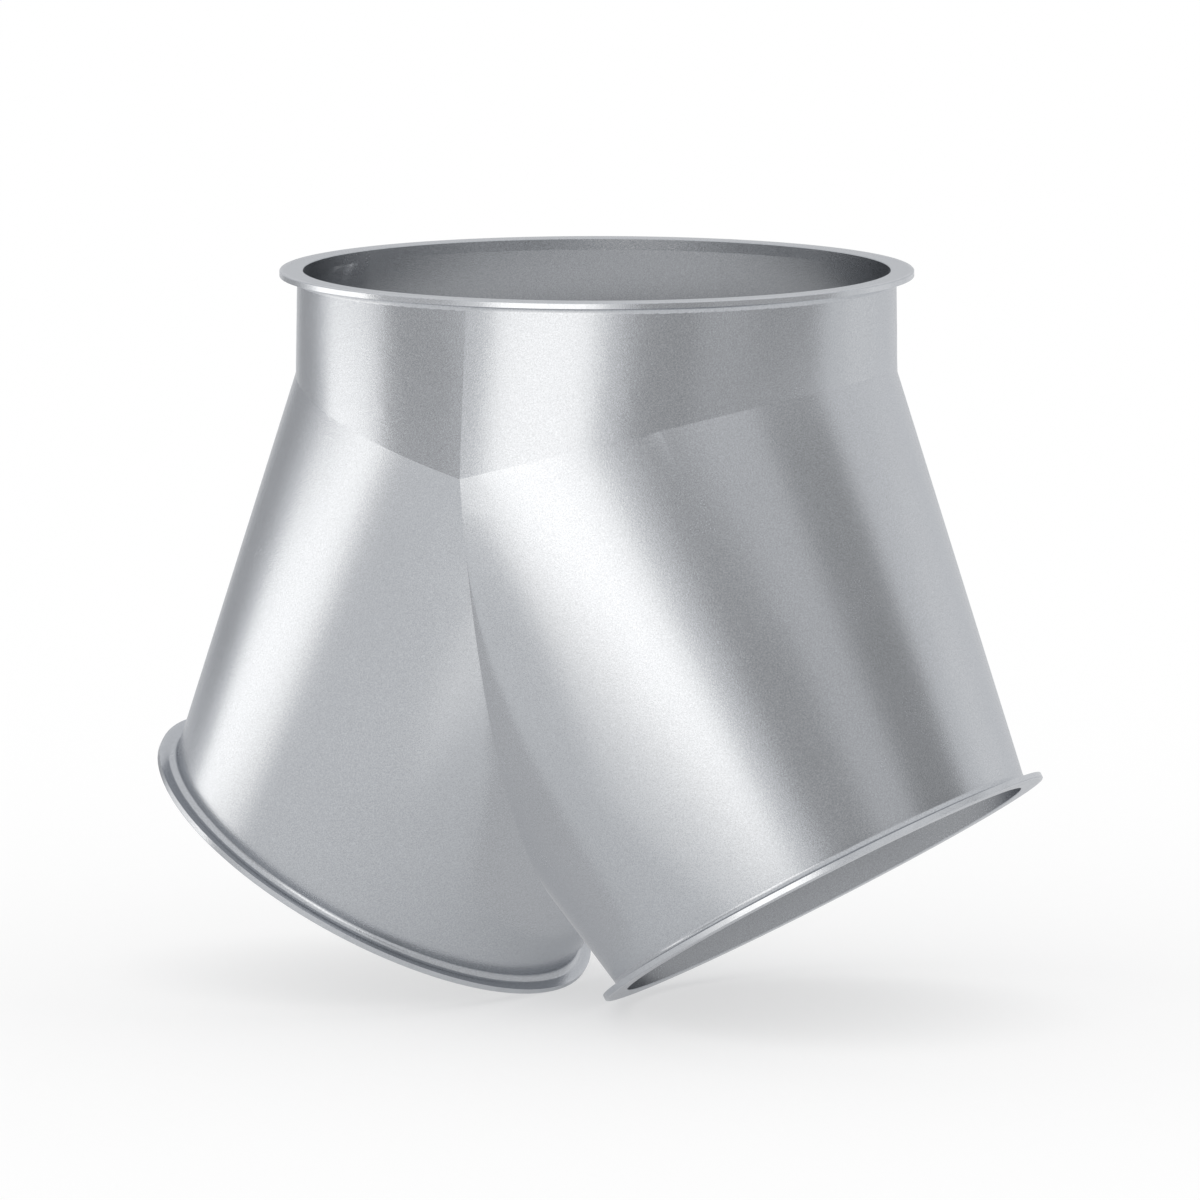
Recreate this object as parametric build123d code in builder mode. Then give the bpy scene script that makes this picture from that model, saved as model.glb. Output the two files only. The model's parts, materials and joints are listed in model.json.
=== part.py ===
"""Y pipe fitting: a symmetric breeches piece in thin sheet steel with lipped ends.

A round inlet collar sits on two tapered legs that spread by 60 degrees.
Each piece is rolled from one sheet. The three meet edge to edge on flat mitres
and are welded flush there. Every open end is flanged outwards into a flat lip,
which a clamping ring draws against the lip of the next pipe.

Frame: millimetres, +Z up. The origin is the centre of the inlet mouth, on the
face of its lip. The legs run down and apart in the XZ plane.
"""
from build123d import *
from math import acos, asin, atan2, cos, degrees, hypot, radians, sin, sqrt, tan
import os

# Driving dimensions
inlet_bore = 200.0         # inside diameter of the inlet collar
outlet_bore = 150.0        # inside diameter at the mouth of each leg
sheet = 2.0                # thickness of the sheet, the lips included
spread_angle = 60.0        # between the axes of the two legs
branch_depth = 60.0        # inlet face down to the point where the three axes meet
leg_length = 171.0         # from that point along a leg's axis to its lip face
lip_width = 6.0            # how far a lip stands out past the outside of its pipe
bend_flat = 1.5            # leg of the 45 degree flat in the bend behind a lip
edge_break = 0.3           # flat on both edges of a lip's face, at the rim and the mouth
collar_neck = 4.0          # height of the true cylinder under the inlet face
trim_stock = 12.0          # extra length of a rolled leg before its mitres are cut

# Directions and planes that the pieces share
leg_tilt = spread_angle / 2
mitre_tilt = leg_tilt / 2  # the mitre halves the turn from the collar to a leg
branch_point = Vector(0, 0, -branch_depth)
leg_direction = Vector(sin(radians(leg_tilt)), 0, -cos(radians(leg_tilt)))

# The mitre between the collar and the right leg: local X climbs outwards,
# and the normal points up into the collar
mitre_plane = Plane(
    origin=branch_point,
    x_dir=(cos(radians(mitre_tilt)), 0, sin(radians(mitre_tilt))),
    z_dir=(-sin(radians(mitre_tilt)), 0, cos(radians(mitre_tilt))),
)
# A leg's section: local X is the distance from its axis, local Y runs down the axis
leg_section_plane = Plane(
    origin=branch_point,
    x_dir=(0, 1, 0),
    z_dir=Vector(0, 1, 0).cross(leg_direction),
)

# The taper of a leg. Its outside starts at the collar's outer radius, at the
# outer corner of the mitre, and its inside ends at the outlet bore
inlet_radius = inlet_bore / 2
outlet_radius = outlet_bore / 2
collar_outer = inlet_radius + sheet
corner_run = collar_outer * tan(radians(mitre_tilt))
taper_run = leg_length - corner_run
taper_drop = collar_outer - outlet_radius
taper = atan2(taper_drop, taper_run) - asin(sheet / hypot(taper_drop, taper_run))
wall_across = sheet / cos(taper)   # the sheet measured square to the leg's axis


def leg_outer(run):
    """Outside radius of a leg at this run along its axis from the branch point."""
    return collar_outer - (run - corner_run) * tan(taper)


def leg_inner(run):
    """Inside radius of a leg at this run along its axis from the branch point."""
    return leg_outer(run) - wall_across


def ease_lip(section):
    """Breaks both edges of a lip's face and eases the bend behind the lip.

    Local Y of the section runs out of the mouth, and local X is the radius."""
    face_corners = section.vertices().group_by(Axis.Y)[-1]
    bend_corner = section.vertices().group_by(Axis.Y)[-2].sort_by(Axis.X)[0]
    chamfer(face_corners, length=edge_break)
    chamfer(bend_corner, length=bend_flat)


def mitre_ellipse(radius):
    """Centre and half axes, in the mitre plane, of a taper cut by the mitre.

    radius is the taper's radius where its axis meets the plane."""
    across = cos(radians(leg_tilt - mitre_tilt))
    along = sin(radians(leg_tilt - mitre_tilt)) * tan(taper)
    reach_out = radius / (across + along)
    reach_in = radius / (across - along)
    half_length = (reach_out + reach_in) / 2
    flattening = sin(radians(leg_tilt - mitre_tilt)) / cos(taper)
    return (reach_out - reach_in) / 2, half_length, half_length * sqrt(1 - flattening**2)


def half_collar(top_radius, leg_radius):
    """Solid right half of the collar, from a half circle under the inlet to the
    arc of ellipse at the mitre. Its side is ruled between the two curves."""
    centre, half_length, half_width = mitre_ellipse(leg_radius)
    arc_end = degrees(acos(-centre / half_length))
    with BuildPart() as half:
        with BuildSketch(Plane.XY.offset(-collar_neck)):
            with BuildLine():
                rim = CenterArc((0, 0), top_radius, -90, 180)
                Line(rim @ 1, rim @ 0)
            make_face()
        with BuildSketch(mitre_plane):
            with BuildLine():
                edge = EllipticalCenterArc(
                    (centre, 0), half_length, half_width, -arc_end, arc_size=2 * arc_end
                )
                Line(edge @ 1, edge @ 0)
            make_face()
        loft(ruled=True)
    return half.part


# Inlet collar: one rolled ring. It is round under the lip and swells to meet the
# wider legs at the mitres, so a faint crease grows down its front and back
collar_skin = half_collar(collar_outer, leg_outer(0))
collar_space = half_collar(inlet_radius, leg_inner(0))

with BuildPart() as inlet_collar:
    with BuildSketch(Plane.XZ) as collar_lip:
        with BuildLine():
            Polyline(
                (inlet_radius, -collar_neck),
                (inlet_radius, 0),
                (collar_outer + lip_width, 0),
                (collar_outer + lip_width, -sheet),
                (collar_outer, -sheet),
                (collar_outer, -collar_neck),
                close=True,
            )
        make_face()
        ease_lip(collar_lip)
    revolve(axis=Axis.Z)
    add(collar_skin)
    mirror(collar_skin, about=Plane.YZ)
    add(collar_space, mode=Mode.SUBTRACT)
    mirror(collar_space, about=Plane.YZ, mode=Mode.SUBTRACT)
inlet_collar.part.label = "inlet_collar"

# Right leg: a rolled cone with its lip, trimmed by the mitre to the collar and
# by the upright mitre to the other leg
lip_back = leg_length - sheet
with BuildPart() as right_leg:
    with BuildSketch(leg_section_plane) as leg_wall:
        with BuildLine():
            Polyline(
                (leg_inner(-trim_stock), -trim_stock),
                (leg_inner(leg_length), leg_length),
                (leg_outer(lip_back) + lip_width, leg_length),
                (leg_outer(lip_back) + lip_width, lip_back),
                (leg_outer(lip_back), lip_back),
                (leg_outer(-trim_stock), -trim_stock),
                close=True,
            )
        make_face()
        ease_lip(leg_wall)
    revolve(axis=Axis(branch_point, leg_direction))
    split(bisect_by=mitre_plane, keep=Keep.BOTTOM)
    split(bisect_by=Plane.YZ, keep=Keep.TOP)
right_leg.part.label = "right_leg"

# Left leg: the same piece turned round to the other side
with BuildPart() as left_leg:
    add(right_leg.part.rotate(Axis.Z, 180))
left_leg.part.label = "left_leg"

os.makedirs("parts", exist_ok=True)
export_step(inlet_collar.part, "parts/inlet_collar.step")
export_step(right_leg.part, "parts/right_leg.step")
export_step(left_leg.part, "parts/left_leg.step")
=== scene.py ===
import bmesh
import bpy
import json
from math import cos, pi, radians, sin, tan
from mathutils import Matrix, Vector


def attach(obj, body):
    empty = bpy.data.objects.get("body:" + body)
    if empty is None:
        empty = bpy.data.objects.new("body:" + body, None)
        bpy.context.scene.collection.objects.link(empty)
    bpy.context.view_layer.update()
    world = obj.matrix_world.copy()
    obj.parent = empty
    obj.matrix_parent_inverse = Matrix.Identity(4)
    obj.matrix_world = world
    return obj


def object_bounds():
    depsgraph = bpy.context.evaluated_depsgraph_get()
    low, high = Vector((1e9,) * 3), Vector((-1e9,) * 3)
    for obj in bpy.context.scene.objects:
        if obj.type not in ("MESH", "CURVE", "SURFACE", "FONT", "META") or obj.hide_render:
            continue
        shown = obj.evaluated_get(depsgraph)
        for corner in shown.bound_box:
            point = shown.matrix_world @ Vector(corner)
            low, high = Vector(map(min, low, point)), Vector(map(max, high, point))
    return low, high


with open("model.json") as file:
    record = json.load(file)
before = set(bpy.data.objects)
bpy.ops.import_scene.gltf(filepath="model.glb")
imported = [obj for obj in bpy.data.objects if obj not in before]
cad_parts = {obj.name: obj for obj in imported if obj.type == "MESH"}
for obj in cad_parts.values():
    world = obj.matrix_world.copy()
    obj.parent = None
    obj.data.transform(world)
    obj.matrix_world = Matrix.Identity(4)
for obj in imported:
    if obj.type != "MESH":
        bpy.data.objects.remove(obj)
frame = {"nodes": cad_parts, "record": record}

cad_low, cad_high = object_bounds()
scene = bpy.context.scene


# The satin finish of the whole fitting.
# All three sheets are stainless steel, blasted to an even, fine grain after
# welding, so one finish runs over the mitres without a change.

def node_group(name, outputs):
    """Empty shader group with a position input and these outputs, and its end nodes."""
    group = bpy.data.node_groups.new(name, "ShaderNodeTree")
    group.interface.new_socket("Position", in_out="INPUT", socket_type="NodeSocketVector")
    for label, kind in outputs:
        group.interface.new_socket(label, in_out="OUTPUT", socket_type=kind)
    return group, group.nodes.new("NodeGroupInput"), group.nodes.new("NodeGroupOutput")


def noise(group, source, size_mm, detail, rough=0.5):
    """Noise over the position whose cells are about this many millimetres across."""
    node = group.nodes.new("ShaderNodeTexNoise")
    node.inputs["Scale"].default_value = 1000 / size_mm
    node.inputs["Detail"].default_value = detail
    node.inputs["Roughness"].default_value = rough
    group.links.new(source, node.inputs["Vector"])
    return node.outputs["Fac"]


def spread(group, value, low, high, to_low, to_high):
    """Value mapped from one span to another, clamped at both ends."""
    node = group.nodes.new("ShaderNodeMapRange")
    for label, number in zip(("From Min", "From Max", "To Min", "To Max"), (low, high, to_low, to_high)):
        node.inputs[label].default_value = number
    group.links.new(value, node.inputs["Value"])
    return node.outputs["Result"]


def maths(group, kind, *values):
    """One maths step, on values that are numbers or outputs of other nodes."""
    node = group.nodes.new("ShaderNodeMath")
    node.operation = kind
    for socket, value in zip(node.inputs, values):
        if isinstance(value, (int, float)):
            socket.default_value = value
        else:
            group.links.new(value, socket)
    return node.outputs["Value"]


def blasted_grain():
    """Grain of blasted steel: tone, roughness and height, all from the position."""
    group, start, end = node_group("blasted_grain", (
        ("Tone", "NodeSocketColor"), ("Roughness", "NodeSocketFloat"), ("Height", "NodeSocketFloat")))
    place = start.outputs["Position"]
    specks = noise(group, place, 0.45, 1.0)
    clouds = noise(group, place, 45.0, 3.0)
    tone = group.nodes.new("ShaderNodeMix")
    tone.data_type = "RGBA"
    tone.inputs["A"].default_value = (0.395, 0.409, 0.431, 1)
    tone.inputs["B"].default_value = (0.520, 0.538, 0.566, 1)
    shade = maths(
        group, "ADD", spread(group, specks, 0.25, 0.75, 0.0, 0.9), spread(group, clouds, 0.35, 0.65, 0.0, 0.1))
    group.links.new(shade, tone.inputs["Factor"])
    group.links.new(tone.outputs["Result"], end.inputs["Tone"])
    rough = maths(
        group, "ADD", spread(group, specks, 0.3, 0.7, 0.22, 0.25), spread(group, clouds, 0.3, 0.7, 0.0, 0.03))
    group.links.new(rough, end.inputs["Roughness"])
    group.links.new(specks, end.inputs["Height"])
    return group


satin_steel = bpy.data.materials.new("satin_steel_finish")
satin_steel.use_nodes = True
tree = satin_steel.node_tree
shader = tree.nodes["Principled BSDF"]
shader.inputs["Metallic"].default_value = 1.0
shader.inputs["Specular Tint"].default_value = (0.72, 0.73, 0.75, 1)
geometry = tree.nodes.new("ShaderNodeNewGeometry")
grain = tree.nodes.new("ShaderNodeGroup")
grain.node_tree = blasted_grain()
tree.links.new(geometry.outputs["Position"], grain.inputs["Position"])
tree.links.new(grain.outputs["Tone"], shader.inputs["Base Color"])
tree.links.new(grain.outputs["Roughness"], shader.inputs["Roughness"])
bump = tree.nodes.new("ShaderNodeBump")
bump.inputs["Strength"].default_value = 0.25
bump.inputs["Distance"].default_value = 0.0001
tree.links.new(grain.outputs["Height"], bump.inputs["Height"])
tree.links.new(bump.outputs["Normal"], shader.inputs["Normal"])


# Inlet collar and the two legs.
# The rolled sheets of the CAD model stay as they are and take the finish.

for node in frame["nodes"].values():
    for place in node.material_slots:
        place.material = satin_steel


# Bends behind the three lips.
# Each lip is flanged out of the sheet over a rounded edge, which leaves an even
# hollow bend between the pipe and the back of its lip.

sheet = 0.002
lip_width = 0.006
inlet_bend_radius = 0.0026
outlet_bend_radius = 0.00215
leg_taper = 9.8596
mounts = {mount["name"]: mount for mount in frame["record"]["mounts"]}


def lip_bend(end, taper, bend_radius):
    """Ring behind the lip of this end, hollow outside and sunk into the pipe and the lip.

    taper is the angle, in degrees, at which the pipe narrows towards the end."""
    face, axis = (Vector(mounts[end + "_face"][key]) for key in ("pos_m", "axis"))
    pipe_radius = mounts[end + "_rim"]["dims"]["r_mm"] / 1000 - lip_width
    lean = radians(taper)
    out = pipe_radius + bend_radius * (tan(lean) + 1 / cos(lean))
    back = sheet + bend_radius
    arc_steps = 16
    section = [(pipe_radius - sheet / 2, sheet / 2)]
    for k in range(arc_steps + 1):
        turn = (pi / 2 + lean) * (1 - cos(pi * k / arc_steps)) / 2
        section.append((out - bend_radius * sin(turn), back - bend_radius * cos(turn)))
    across = axis.orthogonal().normalized()
    up = axis.cross(across)
    ring = bmesh.new()
    ring_steps = 192
    loops = []
    for k in range(ring_steps):
        outward = across * cos(2 * pi * k / ring_steps) + up * sin(2 * pi * k / ring_steps)
        loops.append([ring.verts.new(face + outward * radius - axis * depth) for radius, depth in section])
    for here, there in zip(loops, loops[1:] + loops[:1]):
        for j in range(len(section)):
            ring.faces.new((here[j - 1], here[j], there[j], there[j - 1])).smooth = True
        for j in (0, 1, -1):
            ring.edges.get((here[j], there[j])).smooth = False
    bmesh.ops.recalc_face_normals(ring, faces=ring.faces)
    mesh = bpy.data.meshes.new(end + "_bend")
    ring.to_mesh(mesh)
    ring.free()
    mesh.materials.append(satin_steel)
    bend = bpy.data.objects.new(end + "_bend", mesh)
    scene.collection.objects.link(bend)
    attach(bend, "root")


lip_bend("inlet", 0.0, inlet_bend_radius)
lip_bend("right_outlet", leg_taper, outlet_bend_radius)
lip_bend("left_outlet", leg_taper, outlet_bend_radius)


# Rubbed edges of the lips, with a painted highlight.
# The clamping rings and handling have worn the blasted grain smoother on the outer
# edge of each lip, here more and there less; the lighter tone there is a painted highlight.

def vector_maths(group, kind, output, *values):
    """One step on vectors, given as constants or as outputs of other nodes."""
    node = group.nodes.new("ShaderNodeVectorMath")
    node.operation = kind
    for socket, value in zip(node.inputs, values):
        if isinstance(value, Vector):
            socket.default_value = value
        else:
            group.links.new(value, socket)
    return node.outputs[output]


def worn_and_highlit_edges():
    """Mask of the worn outer edge of all three lips, which also places a painted highlight, broken up by
    noise.
    """
    group, start, end = node_group("worn_and_highlit_edges", (("Wear and highlight", "NodeSocketFloat"),))
    place = start.outputs["Position"]
    wear_and_highlight = None
    for lip in ("inlet", "right_outlet", "left_outlet"):
        face, axis = (Vector(mounts[lip + "_face"][key]) for key in ("pos_m", "axis"))
        rim_radius = mounts[lip + "_rim"]["dims"]["r_mm"] / 1000
        offset = vector_maths(group, "SUBTRACT", "Vector", place, face)
        depth = vector_maths(group, "DOT_PRODUCT", "Value", offset, axis)
        reach = vector_maths(group, "LENGTH", "Value", offset)
        radius = maths(group, "SQRT", maths(
            group, "SUBTRACT", maths(group, "MULTIPLY", reach, reach), maths(group, "MULTIPLY", depth, depth)))
        edge = maths(
            group, "MULTIPLY", spread(group, radius, rim_radius - 0.0020, rim_radius - 0.0003, 0.0, 1.0),
            spread(group, depth, -0.0030, -0.0022, 0.0, 1.0))
        wear_and_highlight = edge if wear_and_highlight is None else maths(group, "MAXIMUM", wear_and_highlight, edge)
    patches = spread(group, noise(group, place, 8.0, 4.0), 0.35, 0.62, 0.35, 1.0)
    group.links.new(maths(group, "MULTIPLY", wear_and_highlight, patches), end.inputs["Wear and highlight"])
    return group


edge_wear_and_highlight = tree.nodes.new("ShaderNodeGroup")
edge_wear_and_highlight.node_tree = worn_and_highlit_edges()
tree.links.new(geometry.outputs["Position"], edge_wear_and_highlight.inputs["Position"])
# Lighter tone on the lip edges: a painted highlight laid over the grain.
painted_edge_highlight_tone = tree.nodes.new("ShaderNodeMix")
painted_edge_highlight_tone.data_type = "RGBA"
painted_edge_highlight_tone.inputs["B"].default_value = (0.540, 0.556, 0.580, 1)
tree.links.new(spread(tree, edge_wear_and_highlight.outputs["Wear and highlight"], 0.0, 1.0, 0.0, 0.6), painted_edge_highlight_tone.inputs["Factor"])
tree.links.new(grain.outputs["Tone"], painted_edge_highlight_tone.inputs["A"])
tree.links.new(painted_edge_highlight_tone.outputs["Result"], shader.inputs["Base Color"])
rubbed_gloss = spread(tree, edge_wear_and_highlight.outputs["Wear and highlight"], 0.0, 1.0, 0.0, 0.07)
tree.links.new(maths(tree, "SUBTRACT", grain.outputs["Roughness"], rubbed_gloss), shader.inputs["Roughness"])


# Floor and air of the studio.
# White card under the fitting and white air round it, both at the level at
# which white shows as white, so the card only darkens where the fitting shades it.

def glowing(name, strength):
    """Plain light-giving material of this strength, with its light node."""
    material = bpy.data.materials.new(name)
    material.use_nodes = True
    material.node_tree.nodes.clear()
    light = material.node_tree.nodes.new("ShaderNodeEmission")
    light.inputs["Strength"].default_value = strength
    end = material.node_tree.nodes.new("ShaderNodeOutputMaterial")
    material.node_tree.links.new(light.outputs["Emission"], end.inputs["Surface"])
    return material, light


def stage_mesh(name, corners, faces, material):
    """Mesh object that belongs to the studio and not to the fitting."""
    mesh = bpy.data.meshes.new(name)
    mesh.from_pydata(corners, [], faces)
    mesh.materials.append(material)
    piece = bpy.data.objects.new(name, mesh)
    scene.collection.objects.link(piece)
    return piece


floor_height = cad_low.z
floor_reach = 12.0
white_card, card_light = glowing("white_card", 1.0)
card_tree = white_card.node_tree
card_paper = card_tree.nodes.new("ShaderNodeBsdfDiffuse")
card_paper.inputs["Color"].default_value = (1, 1, 1, 1)
card_mix = card_tree.nodes.new("ShaderNodeMixShader")
card_mix.inputs["Fac"].default_value = 0.5
card_tree.links.new(card_light.outputs["Emission"], card_mix.inputs[1])
card_tree.links.new(card_paper.outputs["BSDF"], card_mix.inputs[2])
card_tree.links.new(card_mix.outputs["Shader"], card_tree.nodes["Material Output"].inputs["Surface"])
floor = stage_mesh(
    "floor",
    [(x * floor_reach, y * floor_reach, floor_height) for x, y in ((-1, -1), (1, -1), (1, 1), (-1, 1))],
    [(0, 1, 2, 3)], white_card)

air = bpy.data.worlds.new("white_air")
scene.world = air
air.use_nodes = True
air.node_tree.nodes["Background"].inputs["Color"].default_value = (1, 1, 1, 1)
air.node_tree.nodes["Background"].inputs["Strength"].default_value = 1.0


# Soft boxes and grey cards.
# They stand in a ring round the fitting, with two pads on the floor, and only show
# in the steel. A card in the ring has one even strength, with white air between cards.
# Turns run round the ring from the camera's side, positive to the right in the picture.

camera_azimuth = 25.2367
ring_radius = 1.2
ring_middle = -0.11


def ring_point(turn, radius, height):
    """Point at this angle round the ring."""
    angle = radians(camera_azimuth + turn)
    return radius * sin(angle), -radius * cos(angle), height


def steel_card(name, columns):
    """Card that shows in the steel alone, from columns of (corner, strength)."""
    material, light = glowing(name + "_light", 1.0)
    glow = material.node_tree.nodes.new("ShaderNodeAttribute")
    glow.attribute_name = "glow"
    warmth = material.node_tree.nodes.new("ShaderNodeMix")
    warmth.data_type = "RGBA"
    warmth.inputs["A"].default_value = (1.0, 1.0, 1.0, 1)
    warmth.inputs["B"].default_value = (1.0, 0.978, 0.945, 1)
    material.node_tree.links.new(spread(material.node_tree, glow.outputs["Fac"], 0.9, 1.7, 0.0, 1.0), warmth.inputs["Factor"])
    material.node_tree.links.new(warmth.outputs["Result"], light.inputs["Color"])
    material.node_tree.links.new(glow.outputs["Fac"], light.inputs["Strength"])
    rows = len(columns[0])
    faces = [
        (k * rows + j, (k + 1) * rows + j, (k + 1) * rows + j + 1, k * rows + j + 1)
        for k in range(len(columns) - 1) for j in range(rows - 1)]
    corners = [corner for column in columns for corner, strength in column]
    card = stage_mesh(name, corners, faces, material)
    card.data.attributes.new("glow", "FLOAT", "POINT").data.foreach_set(
        "value", [strength for column in columns for corner, strength in column])
    card.visible_camera = False
    card.visible_diffuse = False
    card.visible_shadow = False


def card_turns(first, last):
    """Turns at which the columns of a card stand, about four degrees apart."""
    steps = max(2, round((last - first) / 4))
    return [first + (last - first) * k / steps for k in range(steps + 1)]


def ring_card(name, turn_from, turn_to, rise_from, rise_to, strength):
    """Curved card in the ring, between these turns and these angles of elevation."""
    low = max(ring_middle + ring_radius * tan(radians(rise_from)), floor_height)
    high = ring_middle + ring_radius * tan(radians(rise_to))
    steel_card(name, [
        [(ring_point(turn, ring_radius, height), strength) for height in (low, high)]
        for turn in card_turns(turn_from, turn_to)])


def floor_card(name, turn_from, turn_to, near, far, near_strength, far_strength):
    """Card on the floor that grows brighter from near to far and stays so up to the ring."""
    steel_card(name, [
        [(ring_point(turn, reach, floor_height + 0.0005), strength)
         for reach, strength in ((near, near_strength), (far, far_strength), (ring_radius, far_strength))]
        for turn in card_turns(turn_from, turn_to)])


floor_card("front_pad", -38, 2, 0.18, 0.75, 1.1, 2.4)
floor_card("left_pad", -128, -84, 0.30, 0.90, 1.15, 2.0)
ring_card("front_strip", -38, 1, -7, 11, 2.1)
ring_card("front_strip_top", -38, 1, 11, 20, 1.45)
ring_card("left_strip", -121, -86, -7, 2, 2.3)
ring_card("left_strip_top", -121, -92, 2, 8, 1.25)
ring_card("left_dark", -86, -50, 1, 10, 0.5)
ring_card("left_grey", -86, -50, -7, 1, 0.85)
ring_card("far_left_grey", -156, -130, -4, 8, 0.65)
ring_card("right_dark_near", 12, 38, -7, 14, 0.48)
ring_card("right_dark_foot", 38, 60, -7, 2, 0.5)
ring_card("right_grey_near", 38, 60, 2, 20, 0.78)
ring_card("right_dark_far", 60, 92, 2, 24, 0.42)
ring_card("right_grey_far", 60, 92, -7, 2, 0.62)
ring_card("back_light", 108, 160, -7, 14, 1.15)


def mouth_card(name, end, depth, radius, middle_strength, edge_strength):
    """Round card inside a mouth, this deep, so that its bore doesn't go black."""
    face, axis = (Vector(mounts[end + "_face"][key]) for key in ("pos_m", "axis"))
    across = axis.orthogonal().normalized()
    up = axis.cross(across)
    rings = ((0.02, middle_strength), (0.5, middle_strength), (1.0, edge_strength))
    steel_card(name, [
        [(face - axis * depth + (across * cos(turn) + up * sin(turn)) * radius * share, strength)
         for share, strength in rings]
        for turn in (2 * pi * k / 48 for k in range(49))])


crotch_strength = 0.76
steel_card("crotch_card", [
    [((0, side * half_width, height), crotch_strength)
     for half_width, height in ((0.102, -0.085), (0.086, -0.210), (0.080, floor_height))]
    for side in (-1, 1)])

mouth_card("inlet_card", "inlet", 0.029, 0.096, 0.70, 0.32)
mouth_card("right_outlet_card", "right_outlet", 0.015, 0.074, 0.62, 0.50)
mouth_card("left_outlet_card", "left_outlet", 0.015, 0.074, 0.62, 0.50)


# Camera.
# Long lens, a little above the inlet, turned to the right leg's side.

azimuth = radians(camera_azimuth)
pitch = radians(-7.9239)
heading = azimuth + radians(-0.0179)
camera = bpy.data.objects.new("camera", bpy.data.cameras.new("camera"))
scene.collection.objects.link(camera)
camera.data.sensor_width = 36.0
camera.data.lens = 308.48
camera.data.clip_start = 0.1
camera.data.clip_end = 50.0
camera.location = (3.481042 * sin(azimuth), -3.481042 * cos(azimuth), 0.370639)
forward = Vector((-sin(heading) * cos(pitch), cos(heading) * cos(pitch), sin(pitch)))
camera.rotation_mode = "QUATERNION"
camera.rotation_quaternion = forward.to_track_quat("-Z", "Y")
scene.camera = camera

scene.view_settings.view_transform = "Standard"
